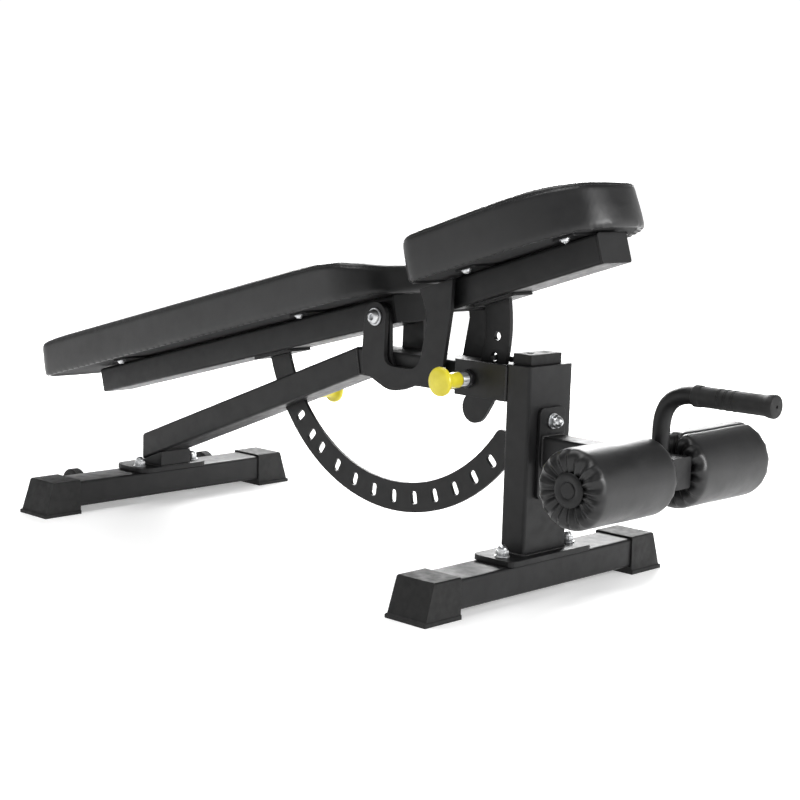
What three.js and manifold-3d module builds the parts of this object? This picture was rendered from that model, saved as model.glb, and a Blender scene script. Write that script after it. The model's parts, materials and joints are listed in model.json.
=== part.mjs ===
// Adjustable weight bench: flat, incline and decline, with a leg holder at the seat end.
// Millimetres, +Z up. The head end points to -X, the leg end to +X, and Y = 0 is the middle.
import * as THREE from 'three';
import { mergeVertices } from 'three/addons/utils/BufferGeometryUtils.js';
import Module from 'manifold-3d';

const wasm = await Module();
wasm.setup();

// ---- Driving dimensions -------------------------------------------------------------------
const GAP = 0.3;                // clearance left between pieces that touch
const WALL = 3;                 // wall of every frame tube
const TUBE = { width: 75, height: 50, corner: 5 };
const PLATE = 8;                // yoke, bracket and cheek plate

const FOOT = { rear: 629, front: 612, spacing: 1000, under: 13 };
const CAP = { length: 83.7, flange: 8, height: 66.8, topInset: 21.5, half: 43.5, topHalf: 40, wall: 26 };

const PIVOT = new THREE.Vector3(672, 0, 435);       // one axis for the back and the seat
const PIVOT_RADIUS = 8;
const SLEEVE_RADIUS = 12;
const BACK_TILT = 14.6;                             // head end down, as it stands
const SEAT_TILT = 17.4;                             // front up, as it stands
const BACK_TUBE = { from: -850, to: 26.6, rise: 8 };
const SEAT_TUBE = { from: 157, to: 486 };

const LADDER = { inner: 298.5, outer: 351.5, thick: 6, start: 12, end: 146, latch: 32.4 };
const LADDER_STEPS = [0, 8, 16, 22, 31, 40, 49, 58, 67, 76, 85, 94, 103];
const LADDER_SLOT = { long: 24, wide: 14, corner: 5 };
const STRAP = { inner: 209.5, outer: 262.5, thick: 8, end: 37, latch: 21, hole: 7.5 };

const SPINE = { half: 38.25, centre: 349, slope: 21.2, mitre: 610, rear: -14 };
const POST = { from: 974, to: 1024, half: 55, top: 383 };
const YOKE = { inside: 50, boss: 26.5 };
const CHEEK = { from: 856, bottom: 321, top: 381, outside: 55 };

const PAD_HALF = 130;
const BOARD = { thick: 15, inset: 8 };
const BRACKET = { thick: 4, wide: 44, hole: 4.5, rim: 8 };
const WIDE_BOLT = 78;
const NOSE_BOLT = 66;
const SEAT_PAD = { from: 138, to: 520, top: 109 };
const BACK_PAD = { from: -953, to: 45, top: 107 };

const PIN = { travel: 12, nose: 6, base: 29, body: 23, hub: 26.5, disc: 49 };
const ROLLER = { x: 1245, z: 238, radius: 61.5, inside: 31, outside: 226, round: 14 };
const SHAFT_RADIUS = 12.5;
const ARM = { top: 268, bottom: 218, end: 1283, half: 25 };
const HANDLE = { x: 1245, bend: 60, top: 366.5, radius: 14, end: 1446 };
const GRIP = { body: 16, collar: 17, flange: 18 };
const WHEEL = { x: -70, y: 168, z: 36, radius: 30, half: 11, stud: 5 };

const rad = THREE.MathUtils.degToRad;

// ---- Materials ----------------------------------------------------------------------------
function finish(color, roughness, metalness) {
  return () => new THREE.MeshStandardMaterial({ color, roughness, metalness });
}
const powderCoat = finish(0x1c1c1e, 0.5, 0.35);
const vinyl = finish(0x141415, 0.45, 0);
const blackPlastic = finish(0x121213, 0.55, 0);
const rubber = finish(0x101011, 0.8, 0);
const zinc = finish(0xc4c6c8, 0.28, 1);
const yellowPlastic = finish(0xe2cf16, 0.4, 0);
const plywood = finish(0x6b4f35, 0.8, 0);

// ---- Solids -------------------------------------------------------------------------------
function toSolid(geometry) {
  const bare = geometry.clone();
  bare.deleteAttribute('normal');
  bare.deleteAttribute('uv');
  const merged = mergeVertices(bare, 1e-4);
  const vertProperties = new Float32Array(merged.attributes.position.array);
  const triVerts = new Uint32Array(merged.index.array);
  return new wasm.Manifold(new wasm.Mesh({ numProp: 3, vertProperties, triVerts }));
}

function toGeometry(solid) {
  const mesh = solid.getMesh();
  const geometry = new THREE.BufferGeometry();
  geometry.setAttribute('position', new THREE.BufferAttribute(mesh.vertProperties, 3));
  geometry.setIndex(new THREE.BufferAttribute(mesh.triVerts, 1));
  geometry.computeVertexNormals();
  return geometry;
}

const cut = (body, ...tools) =>
  toGeometry(tools.reduce((solid, tool) => solid.subtract(toSolid(tool)), toSolid(body)));
const join = (...bodies) => toGeometry(bodies.map(toSolid).reduce((a, b) => a.add(b)));
const common = (...bodies) => toGeometry(bodies.map(toSolid).reduce((a, b) => a.intersect(b)));

// ---- Outlines -----------------------------------------------------------------------------
function arc(cx, cy, radius, fromDeg, toDeg, steps) {
  return Array.from({ length: steps + 1 }, (_, i) => {
    const a = rad(fromDeg + ((toDeg - fromDeg) * i) / steps);
    return new THREE.Vector2(cx + radius * Math.cos(a), cy + radius * Math.sin(a));
  });
}

const points = (pairs) => pairs.map(([x, y]) => new THREE.Vector2(x, y));

const circle = (radius, steps = 24, cx = 0, cy = 0) => arc(cx, cy, radius, 0, 360, steps).slice(0, -1);

// Rounded rectangle about (cx, cy), counter-clockwise; radii go corner by corner from +x +y.
function roundedRectangle(width, height, radii, steps = 4, cx = 0, cy = 0) {
  const r = Array.isArray(radii) ? radii : [radii, radii, radii, radii];
  const signs = [[1, 1], [-1, 1], [-1, -1], [1, -1]];
  return signs.flatMap(([sx, sy], i) => {
    const x = cx + sx * (width / 2 - r[i]);
    const y = cy + sy * (height / 2 - r[i]);
    return arc(x, y, r[i], 90 * i, 90 * i + 90, steps);
  });
}

// Band between two radii about the origin, angles counter-clockwise from +x.
function bandOutline(inner, outer, fromDeg, toDeg, steps) {
  return [...arc(0, 0, outer, fromDeg, toDeg, steps), ...arc(0, 0, inner, toDeg, fromDeg, steps)];
}

const shapeOf = (points, ...holes) => {
  const shape = new THREE.Shape(points);
  shape.holes = holes.map((hole) => new THREE.Path(hole));
  return shape;
};

const extrude = (shape, depth) => new THREE.ExtrudeGeometry(shape, { depth, bevelEnabled: false });

// Sheets: the outline lies in the named plane and the sheet fills the range across it.
const sheetXZ = (shape, y0, y1) => extrude(shape, y1 - y0).rotateX(Math.PI / 2).translate(0, y1, 0);
const sheetXY = (shape, z0, z1) => extrude(shape, z1 - z0).translate(0, 0, z0);
const yzBasis = new THREE.Matrix4().makeBasis(
  new THREE.Vector3(0, 1, 0), new THREE.Vector3(0, 0, 1), new THREE.Vector3(1, 0, 0));
const sheetYZ = (shape, x0, x1) => extrude(shape, x1 - x0).applyMatrix4(yzBasis).translate(x0, 0, 0);

function box(x0, x1, y0, y1, z0, z1) {
  const geometry = new THREE.BoxGeometry(x1 - x0, y1 - y0, z1 - z0);
  return geometry.translate((x0 + x1) / 2, (y0 + y1) / 2, (z0 + z1) / 2);
}

// Rectangular tube along X, its section centred on (0, z).
function tubeX(x0, x1, width, height, z = 0) {
  const outer = roundedRectangle(width, height, TUBE.corner, 3, 0, z);
  const inner = roundedRectangle(width - 2 * WALL, height - 2 * WALL, TUBE.corner - WALL, 2, 0, z);
  return sheetYZ(shapeOf(outer, inner), x0, x1);
}

const plugInsert = (width, height) =>
  shapeOf(roundedRectangle(width - 2 * WALL - 2 * GAP, height - 2 * WALL - 2 * GAP, 2, 2));

// Turned piece about the Y axis from [radius, y] pairs.
const turned = (pairs, steps = 24) =>
  new THREE.LatheGeometry(pairs.map(([r, y]) => new THREE.Vector2(r, y)), steps);
const rod = (radius, y0, y1, steps = 24) =>
  turned([[0, y0], [radius, y0], [radius, y1], [0, y1]], steps);
const alongZ = (geometry) => geometry.rotateX(Math.PI / 2);
const alongX = (geometry) => geometry.rotateZ(-Math.PI / 2);

// Half space beyond a plane through (x, z) whose normal leans up by lean degrees from +X or -X.
function beyond(x, z, lean, sign) {
  const size = 400;
  const block = new THREE.BoxGeometry(size, size, size).translate((sign * size) / 2, 0, 0);
  return block.rotateY(-rad(lean)).translate(x, 0, z);
}

function piece(name, geometry, material, x = 0, y = 0, z = 0) {
  const mesh = new THREE.Mesh(geometry, material());
  mesh.name = name;
  mesh.position.set(x, y, z);
  return mesh;
}

const SIDES = [['near', -1], ['far', 1]];

// ---- Feet ---------------------------------------------------------------------------------
const tubeTop = FOOT.under + TUBE.height;
const BASE = { plate: 9, bottom: tubeTop + GAP };
BASE.top = BASE.bottom + BASE.plate;
const FOOT_BOLT = { radius: 6, head: 11, nut: 9.5, washer: 13 };
const REAR_BOLT = { x: 14, half: 67 };
const FRONT_BOLT = { x: 4, half: 84 };

function footBoltHoles(bolt, x) {
  return SIDES.map(([, s]) =>
    alongZ(rod(FOOT_BOLT.radius + GAP, 0, 90)).translate(x + bolt.x, s * bolt.half, 0));
}

// Rubber end cap; the outer end leans in towards the top. Drawn at +Y and mirrored for -Y.
function capGeometry(length, side) {
  const outer = length / 2;
  const inner = outer - CAP.length;
  const lip = 4;
  const profile = points([
    [inner, 0], [outer, 0], [outer, CAP.flange - 2], [outer - lip, CAP.flange],
    [outer - CAP.topInset, CAP.height - 2], [outer - CAP.topInset - 2, CAP.height], [inner, CAP.height],
  ]);
  const front = points([
    [-CAP.half, 0], [CAP.half, 0], [CAP.half, CAP.flange - 2], [CAP.topHalf + 1.5, CAP.flange],
    [CAP.topHalf, CAP.height - 2], [CAP.topHalf - 2, CAP.height],
    [2 - CAP.topHalf, CAP.height], [-CAP.topHalf, CAP.height - 2], [-CAP.topHalf - 1.5, CAP.flange],
    [-CAP.half, CAP.flange - 2],
  ]);
  const body = common(
    sheetYZ(shapeOf(profile), -CAP.half, CAP.half),
    sheetXZ(shapeOf(front), inner - 1, outer + 1));
  const pocket = box(-TUBE.width / 2 - GAP, TUBE.width / 2 + GAP, inner - 1, outer - CAP.wall,
    FOOT.under - GAP, tubeTop + GAP);
  const cap = cut(body, pocket);
  return side < 0 ? mirrored(cap) : cap;
}

function foot(name, length, x, bolts) {
  const group = new THREE.Group();
  const half = length / 2 - CAP.wall - GAP;
  const centre = FOOT.under + TUBE.height / 2;
  const tube = tubeX(-half, half, TUBE.width, TUBE.height, centre).rotateZ(Math.PI / 2);
  group.add(piece(`${name}_foot_tube`, cut(tube, ...footBoltHoles(bolts, 0)), powderCoat));
  SIDES.forEach(([side, s]) => {
    group.add(piece(`${name}_foot_cap_${side}`, capGeometry(length, s), rubber));
    const low = FOOT.under - 4.5;
    const bolt = alongZ(turned([
      [0, low], [FOOT_BOLT.head, low], [FOOT_BOLT.head, FOOT.under - GAP],
      [FOOT_BOLT.radius, FOOT.under - GAP], [FOOT_BOLT.radius, BASE.top + GAP],
      [FOOT_BOLT.washer, BASE.top + GAP], [FOOT_BOLT.washer, BASE.top + 2.5], [FOOT_BOLT.nut, BASE.top + 2.5],
      [FOOT_BOLT.nut, BASE.top + 11], [7.5, BASE.top + 16], [4, BASE.top + 19], [0, BASE.top + 20],
    ], 12));
    group.add(piece(`${name}_foot_bolt_${side}`, bolt, zinc, bolts.x, s * bolts.half));
  });
  group.position.x = x;
  return group;
}

// ---- Frame --------------------------------------------------------------------------------
const bandXZ = (band, fromDeg, toDeg, half, grow) => sheetXZ(
  shapeOf(bandOutline(band.inner - grow, band.outer + grow, fromDeg, toDeg, 14)),
  -half, half).translate(PIVOT.x, 0, PIVOT.z);

const ladderLatch = {
  x: PIVOT.x - ((LADDER.inner + LADDER.outer) / 2) * Math.cos(rad(LADDER.latch)),
  z: PIVOT.z - ((LADDER.inner + LADDER.outer) / 2) * Math.sin(rad(LADDER.latch)),
};
const strapLatch = {
  x: PIVOT.x + ((STRAP.inner + STRAP.outer) / 2) * Math.cos(rad(STRAP.latch)),
  z: PIVOT.z - ((STRAP.inner + STRAP.outer) / 2) * Math.sin(rad(STRAP.latch)),
};

function spineSlope() {
  const lean = SPINE.slope / 2;
  const tube = tubeX(-760, 80, 2 * SPINE.half, TUBE.height).rotateY(-rad(SPINE.slope))
    .translate(SPINE.mitre, 0, SPINE.centre);
  const ladderSlot = bandXZ(LADDER, 190, 235, LADDER.thick / 2 + 1.5, 3);
  const pinHole = rod(10, 20, 60).translate(ladderLatch.x, 0, ladderLatch.z);
  return cut(tube, beyond(SPINE.mitre - GAP / 2, SPINE.centre, lean, 1),
    box(-400, SPINE.rear, -60, 60, -200, 400), ladderSlot, pinHole);
}

function spineLevel() {
  const tube = tubeX(560, POST.from - GAP, 2 * SPINE.half, TUBE.height, SPINE.centre);
  const strapSlot = bandXZ(STRAP, -60, 5, STRAP.thick / 2 + 1.5, 3);
  const pinHole = rod(PIN.nose + 1, -60, -20).translate(strapLatch.x, 0, strapLatch.z);
  return cut(tube, beyond(SPINE.mitre + GAP / 2, SPINE.centre, SPINE.slope / 2, -1), strapSlot, pinHole);
}

// Base plate of the spine with the stub that carries the spine's cut end.
function rearBase() {
  const plate = sheetXY(shapeOf(roundedRectangle(98, 172, 24, 5)), BASE.bottom, BASE.top);
  const under = (x) => SPINE.centre - Math.tan(rad(SPINE.slope)) * (SPINE.mitre - x)
    - TUBE.height / 2 / Math.cos(rad(SPINE.slope)) - GAP;
  const stubFront = 46;
  const stub = shapeOf(points([
    [SPINE.rear, BASE.top - 1], [stubFront, BASE.top - 1],
    [stubFront, under(stubFront)], [SPINE.rear, under(SPINE.rear)],
  ]));
  return cut(join(plate, sheetXZ(stub, -SPINE.half + 1, SPINE.half - 1)), ...footBoltHoles(REAR_BOLT, 0));
}

const LEG_BOLT_HEIGHTS = [292, 190];
const LEG_BOLT_RADIUS = 6;

// Upright of rectangular tube on its base plate, closed at the top.
function frontPost() {
  const middle = (POST.from + POST.to) / 2;
  const outer = roundedRectangle(POST.to - POST.from, 2 * POST.half, TUBE.corner, 3, middle, 0);
  const hollow = roundedRectangle(POST.to - POST.from - 2 * WALL, 2 * (POST.half - WALL), 2, 2, middle, 0);
  const upright = sheetXY(shapeOf(outer), BASE.top - 1, POST.top);
  const plate = sheetXY(shapeOf(roundedRectangle(86, 212, 12, 4, FOOT.spacing, 0)), BASE.bottom, BASE.top);
  const bore = sheetXY(shapeOf(hollow), BASE.bottom - 5, POST.top - WALL);
  const boltHoles = LEG_BOLT_HEIGHTS.map((z) =>
    alongX(rod(LEG_BOLT_RADIUS + GAP, POST.from - 5, POST.to + 5)).translate(0, 0, z));
  return cut(join(upright, plate), bore, ...boltHoles, ...footBoltHoles(FRONT_BOLT, FOOT.spacing));
}

// Bracket plate on the spine's side that carries the pivot bolt.
function pivotBracket(side) {
  const outline = shapeOf([
    ...arc(0, 0, 24, 0, 180, 12),
    ...points([[-26, -60], [-36, -84], [-36, -108], [36, -108], [36, -84], [27, -66]]),
  ], circle(PIVOT_RADIUS + GAP));
  const y0 = SPINE.half + GAP;
  return sheetXZ(outline, side < 0 ? -y0 - PLATE : y0, side < 0 ? -y0 : y0 + PLATE);
}

// Folded plate from the spine's side out to the post's side.
function postCheek(side) {
  const y0 = SPINE.half + GAP;
  const outline = shapeOf(points([
    [CHEEK.from, y0], [CHEEK.from + PLATE, y0], [CHEEK.from + PLATE, CHEEK.outside - PLATE],
    [POST.from - GAP, CHEEK.outside - PLATE], [POST.from - GAP, CHEEK.outside],
    [CHEEK.from + 5, CHEEK.outside], [CHEEK.from, CHEEK.outside - 5],
  ]));
  const plate = sheetXY(outline, CHEEK.bottom, CHEEK.top);
  const hole = rod(10, 30, 70).translate(strapLatch.x, 0, strapLatch.z);
  return side > 0 ? plate : mirrored(cut(plate, hole));
}

// The same piece for the other side of the bench, with its faces turned outwards again.
function mirrored(geometry) {
  geometry.applyMatrix4(new THREE.Matrix4().makeScale(1, -1, 1));
  const index = geometry.index.array;
  for (let i = 0; i < index.length; i += 3) {
    const swap = index[i];
    index[i] = index[i + 1];
    index[i + 1] = swap;
  }
  geometry.computeVertexNormals();
  return geometry;
}

function pivotBolt() {
  const out = YOKE.inside + PLATE + GAP;
  return turned([
    [0, -out - 9], [PIVOT_RADIUS, -out - 9], [12.5, -out - 6], [12.5, -out - 3], [15.5, -out - 3], [15.5, -out],
    [PIVOT_RADIUS, -out], [PIVOT_RADIUS, out], [15.5, out], [15.5, out + 3], [12.5, out + 3], [12.5, out + 12],
    [9, out + 15], [0, out + 15],
  ], 20);
}

function bumper() {
  const block = box(POST.from, POST.from + 38, -38.7, 38.7, POST.top + GAP, 400.5);
  const wells = [-19, 19].map((y) => alongZ(rod(6, 388, 410, 16)).translate(POST.from + 19, y, 0));
  return cut(block, ...wells);
}

// ---- Pull pins ----------------------------------------------------------------------------
// Drawn for the +Y side with the barrel seated at y = 0; the pin is drawn clear of its plate.
function pinBarrel() {
  return turned([
    [PIN.nose + GAP, -8], [9.6, -8], [9.6, 0], [PIN.base / 2, 0], [PIN.base / 2, 8],
    [PIN.body / 2, 8.5], [PIN.body / 2, 40], [10, 42], [4 + GAP, 42], [4 + GAP, 39],
    [8.5, 39], [8.5, -4], [PIN.nose + GAP, -4], [PIN.nose + GAP, -8],
  ], 16);
}

const pinPlunger = (reach) => turned([
  [0, -reach], [PIN.nose - 1.5, -reach], [PIN.nose, -reach + 1.5], [PIN.nose, 9], [8, 9], [8, 14],
  [4, 14], [4, 58], [0, 58],
], 14);

const pinKnob = () => turned([
  [4 + GAP, 55], [4 + GAP, 59], [0, 59], [0, 77], [14, 76.5], [PIN.disc / 2 - 2, 74],
  [PIN.disc / 2, 71], [PIN.disc / 2, 67], [PIN.disc / 2 - 3, 64.5], [PIN.hub / 2 + 1, 62],
  [PIN.hub / 2 - 1, 52], [PIN.hub / 2, 44], [PIN.hub / 2, 27], [PIN.body / 2 + GAP, 27],
  [PIN.body / 2 + GAP, 55], [4 + GAP, 55],
].reverse(), 20);

// ---- Leg holder ---------------------------------------------------------------------------
function legHolderArm() {
  const x0 = POST.to + GAP;
  const plate = sheetYZ(shapeOf(roundedRectangle(64, 152, 10, 4, 0, 239)), x0, x0 + 6);
  const outer = roundedRectangle(2 * ARM.half, ARM.top - ARM.bottom, TUBE.corner, 3, 0, (ARM.top + ARM.bottom) / 2);
  const inner = roundedRectangle(2 * (ARM.half - WALL), ARM.top - ARM.bottom - 2 * WALL, 2, 2,
    0, (ARM.top + ARM.bottom) / 2);
  const tube = cut(sheetYZ(shapeOf(outer), x0 + 3, ARM.end), sheetYZ(shapeOf(inner), x0 + 6, ARM.end + 5));
  const shaftHole = rod(SHAFT_RADIUS + GAP, -60, 60).translate(ROLLER.x, 0, ROLLER.z);
  const boltHoles = LEG_BOLT_HEIGHTS.map((z) =>
    alongX(rod(LEG_BOLT_RADIUS + GAP, x0 - 5, x0 + 10)).translate(0, 0, z));
  return cut(join(plate, tube), shaftHole, ...boltHoles);
}

function legHolderBolt() {
  const face = POST.to + 6 + 2 * GAP;
  return alongX(turned([
    [0, POST.from - 8], [10, POST.from - 8], [10, POST.from - GAP],
    [LEG_BOLT_RADIUS, POST.from - GAP], [LEG_BOLT_RADIUS, face],
    [13, face], [13, face + 2.5], [9.5, face + 2.5], [9.5, face + 11], [7.5, face + 16],
    [4, face + 19], [0, face + 20],
  ], 12));
}

function handleTube() {
  const corner = new THREE.Vector3(HANDLE.x, 0, HANDLE.top);
  const path = new THREE.CurvePath();
  const rise = corner.clone().add(new THREE.Vector3(0, 0, -HANDLE.bend));
  const run = corner.clone().add(new THREE.Vector3(HANDLE.bend, 0, 0));
  path.add(new THREE.LineCurve3(new THREE.Vector3(HANDLE.x, 0, ARM.top + GAP), rise));
  path.add(new THREE.QuadraticBezierCurve3(rise, corner, run));
  path.add(new THREE.LineCurve3(run, new THREE.Vector3(HANDLE.end - 10, 0, HANDLE.top)));
  return new THREE.ExtrudeGeometry(shapeOf(circle(HANDLE.radius, 12)),
    { extrudePath: path, steps: 24, bevelEnabled: false });
}

// Rubber grip with a collar, three grooves and a mushroom end.
function grip() {
  const start = HANDLE.x + HANDLE.bend;
  const inside = HANDLE.radius + GAP;
  const { body, collar, flange } = GRIP;
  const rings = [47, 59, 72].flatMap((d) => [
    [body, start + d - 2], [body - 1.2, start + d - 1], [body - 1.2, start + d + 1], [body, start + d + 2],
  ]);
  const profile = [
    [inside, start], [collar, start], [collar, start + 12], [body, start + 14], ...rings,
    [body, start + 122], [flange, HANDLE.end - 12], [flange, HANDLE.end - 3], [flange - 2, HANDLE.end],
    [0, HANDLE.end + 1],
    [0, HANDLE.end - 10 + GAP], [inside, HANDLE.end - 10 + GAP], [inside, start],
  ];
  return alongX(turned(profile, 16)).translate(0, 0, HANDLE.top);
}

function roller() {
  const { radius: r, round, inside: y0, outside: y1 } = ROLLER;
  const lower = arc(r - round, y0 + round, round, -90, 0, 4).map((p) => [p.x, p.y]);
  const upper = arc(r - round, y1 - round, round, 0, 90, 4).map((p) => [p.x, p.y]);
  const bore = SHAFT_RADIUS + GAP;
  return turned([[bore, y0], ...lower, ...upper, [bore, y1], [bore, y0]], 24);
}

// Plastic disc that holds the gathered cover at the roller's outer end.
function rollerCap() {
  const face = ROLLER.outside + GAP;
  const neck = SHAFT_RADIUS - GAP;
  return turned([[0, face - 3], [neck, face - 3], [neck, face], [28, face], [28, face + 3], [24, face + 5],
    [0, face + 5]], 24);
}

function wheelBracket(side) {
  const y0 = WHEEL.y - WHEEL.half - 6.5;
  const footSide = -TUBE.width / 2 - GAP;
  const outline = shapeOf(points([
    [footSide, 18], [footSide, 56], [WHEEL.x + 8, WHEEL.z + 14],
    ...arc(WHEEL.x, WHEEL.z, 14, 90, 270, 8).map((p) => [p.x, p.y]),
  ]));
  const plate = sheetXZ(outline, y0, y0 + 5);
  const stud = turned([
    [0, y0 + 2], [WHEEL.stud, y0 + 2], [WHEEL.stud, WHEEL.y + WHEEL.half + 1.5], [9, WHEEL.y + WHEEL.half + 1.5],
    [9, WHEEL.y + WHEEL.half + 6], [0, WHEEL.y + WHEEL.half + 8],
  ], 16).translate(WHEEL.x, 0, WHEEL.z);
  const bracket = join(plate, stud);
  return side > 0 ? bracket : mirrored(bracket);
}

function wheel() {
  const { radius: r, half } = WHEEL;
  return turned([
    [WHEEL.stud + GAP, -half], [10, -half], [11, -half + 2], [r - 8, -half + 2], [r - 7, -half], [r - 2, -half],
    [r, -half + 3], [r, half - 3], [r - 2, half], [r - 7, half], [r - 8, half - 2], [11, half - 2],
    [10, half], [WHEEL.stud + GAP, half], [WHEEL.stud + GAP, -half],
  ], 20);
}

// ---- Seat and back ------------------------------------------------------------------------
const onPivot = (tilt) => {
  const group = new THREE.Group();
  group.rotation.y = -rad(tilt);
  return group;
};

// Plans of the pads. The seat is widest at its hinge end and rounds off to the nose.
const backPlan = () => roundedRectangle(BACK_PAD.to - BACK_PAD.from, 2 * PAD_HALF, [80, 40, 40, 80], 6,
  (BACK_PAD.to + BACK_PAD.from) / 2, 0);

function seatPlan() {
  const { from, to } = SEAT_PAD;
  const shape = new THREE.Shape();
  const heel = 38;
  const straight = 250;
  const noseSide = [straight + 180, PAD_HALF, to, 108];
  shape.moveTo(straight, -PAD_HALF);
  shape.bezierCurveTo(noseSide[0], -noseSide[1], noseSide[2], -noseSide[3], to, 0);
  shape.bezierCurveTo(noseSide[2], noseSide[3], noseSide[0], noseSide[1], straight, PAD_HALF);
  shape.lineTo(from + heel, PAD_HALF);
  shape.absarc(from + heel, PAD_HALF - heel, heel, Math.PI / 2, Math.PI, false);
  shape.lineTo(from, heel - PAD_HALF);
  shape.absarc(from + heel, heel - PAD_HALF, heel, Math.PI, 1.5 * Math.PI, false);
  return shape.getPoints(12).slice(1);
}

// The same plan drawn smaller by inset on every side.
function insetPlan(plan, pad, inset) {
  const middle = (pad.to + pad.from) / 2;
  const alongScale = 1 - (2 * inset) / (pad.to - pad.from);
  const acrossScale = 1 - inset / PAD_HALF;
  return shapeOf(plan.map(({ x, y }) =>
    new THREE.Vector2(middle + (x - middle) * alongScale, y * acrossScale)));
}

// Cushion from its side view and plan, with a pocket under it for the brackets and the board.
function cushion(pad, plan, profile, bottom) {
  const side = sheetXZ(shapeOf(profile), -PAD_HALF - 1, PAD_HALF + 1);
  const body = common(side, sheetXY(shapeOf(plan), bottom - 5, 160));
  const ceiling = bottom + BRACKET.thick + BOARD.thick + 2 * GAP;
  return cut(body, sheetXY(insetPlan(plan, pad, BOARD.inset), bottom - 5, ceiling));
}

function padGroup(name, pad, plan, profile, tubeCrown, bracketPlaces) {
  const group = new THREE.Group();
  const bottom = tubeCrown + GAP;
  const boardBottom = bottom + BRACKET.thick + GAP;
  const boardPlan = insetPlan(plan, pad, BOARD.inset + GAP);
  const board = sheetXY(boardPlan, boardBottom, boardBottom + BOARD.thick);
  group.add(piece(`${name}_cushion`, cushion(pad, plan, profile, bottom), vinyl));
  group.add(piece(`${name}_board`, board, plywood));
  Object.entries(bracketPlaces).forEach(([place, [x, bolt]]) => {
    const outline = roundedRectangle(BRACKET.wide, 2 * (bolt + BRACKET.rim), 8, 3, x, 0);
    const holes = SIDES.map(([, s]) => circle(BRACKET.hole, 12, x, s * bolt));
    const plate = sheetXY(shapeOf(outline, ...holes), bottom, bottom + BRACKET.thick);
    group.add(piece(`${name}_bracket_${place}`, plate, powderCoat));
  });
  return group;
}

function seatBody() {
  const body = new THREE.Group();
  const tilted = onPivot(SEAT_TILT);
  const crown = TUBE.height / 2;
  const { from, to, top } = SEAT_PAD;
  const profile = points([
    [from, 25.3], [to - 8, 25.3], [to, 33], [to, 86], [to - 5, 97], [to - 14, 103], [460, 107.5],
    [400, top], [320, top], [250, 107], [170, 104], [156, 99], [148, 93], [from, 84],
  ]);
  tilted.add(piece('seat_tube', tubeX(SEAT_TUBE.from, SEAT_TUBE.to, TUBE.width, TUBE.height), powderCoat));
  tilted.add(piece('seat_plug_front', join(
    sheetYZ(shapeOf(roundedRectangle(TUBE.width, TUBE.height, TUBE.corner, 3)), SEAT_TUBE.to + GAP, SEAT_TUBE.to + 4),
    sheetYZ(plugInsert(TUBE.width, TUBE.height), SEAT_TUBE.to - 20, SEAT_TUBE.to + 1)), blackPlastic));
  tilted.add(piece('seat_yoke_bridge', box(SEAT_TUBE.from - GAP - PLATE, SEAT_TUBE.from - GAP,
    -YOKE.inside + GAP, YOKE.inside - GAP, -27, 22), powderCoat));
  tilted.add(padGroup('seat', SEAT_PAD, seatPlan(), profile, crown, {
    rear: [246, WIDE_BOLT], front: [448, NOSE_BOLT],
  }));
  body.add(tilted);
  SIDES.forEach(([side, s]) => {
    const y0 = s < 0 ? -YOKE.inside - PLATE : YOKE.inside;
    body.add(piece(`seat_yoke_${side}`, sheetXZ(yokeOutline(), y0, y0 + PLATE), powderCoat));
  });
  body.add(piece('seat_strap', seatStrap(), powderCoat));
  return body;
}

// U-shaped yoke plate: pivot boss at the left, arm up to the seat tube at the right.
function yokeOutline() {
  const shape = new THREE.Shape();
  shape.moveTo(YOKE.boss, 0);
  shape.absarc(0, 0, YOKE.boss, 0, Math.PI, false);
  shape.lineTo(-31, -62);
  shape.lineTo(-31, -86);
  shape.quadraticCurveTo(-31, -98, -20, -102);
  shape.lineTo(12, -116);
  shape.quadraticCurveTo(43, -134, 86, -115.5);
  shape.quadraticCurveTo(96, -110.5, 108, -110.5);
  shape.lineTo(148, -110.5);
  shape.quadraticCurveTo(158, -110.5, 159.5, -100);
  shape.lineTo(164.5, -60.5);
  shape.lineTo(177, 23);
  shape.lineTo(179, 79);
  shape.lineTo(104, 55.5);
  shape.quadraticCurveTo(128, 14, 122.5, -4);
  shape.lineTo(114, -46.5);
  shape.quadraticCurveTo(110, -82, 84, -83);
  shape.lineTo(50, -83);
  shape.quadraticCurveTo(25, -83, 24, -66.5);
  const outline = shape.getPoints(5);
  return shapeOf(outline.slice(1), circle(PIVOT_RADIUS + GAP));
}

// Curved strap about the pivot with one hole for each seat height, and its tab under the tube.
function seatStrap() {
  const middle = (STRAP.inner + STRAP.outer) / 2;
  const half = (STRAP.outer - STRAP.inner) / 2;
  const tip = new THREE.Vector2(middle * Math.cos(rad(-STRAP.end)), middle * Math.sin(rad(-STRAP.end)));
  const outline = [
    ...arc(0, 0, STRAP.outer, -STRAP.end, 24, 20),
    ...arc(0, 0, STRAP.inner, 24, -STRAP.end, 16),
    ...arc(tip.x, tip.y, half, 180 - STRAP.end, 360 - STRAP.end, 12).slice(1, -1),
  ];
  const holes = [0, 1, 2].map((i) => {
    const a = rad(-STRAP.latch + (i * SEAT_TILT) / 2);
    return circle(STRAP.hole, 20, middle * Math.cos(a), middle * Math.sin(a));
  });
  const band = sheetXZ(shapeOf(outline, ...holes), -STRAP.thick / 2, STRAP.thick / 2);
  const under = -TUBE.height / 2 - GAP;
  const above = box(0, 400, -50, 50, under - 2, 200).rotateY(-rad(SEAT_TILT));
  const tab = box(198, 290, -24, 24, under - 5, under).rotateY(-rad(SEAT_TILT));
  return join(cut(band, above), tab);
}

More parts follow.
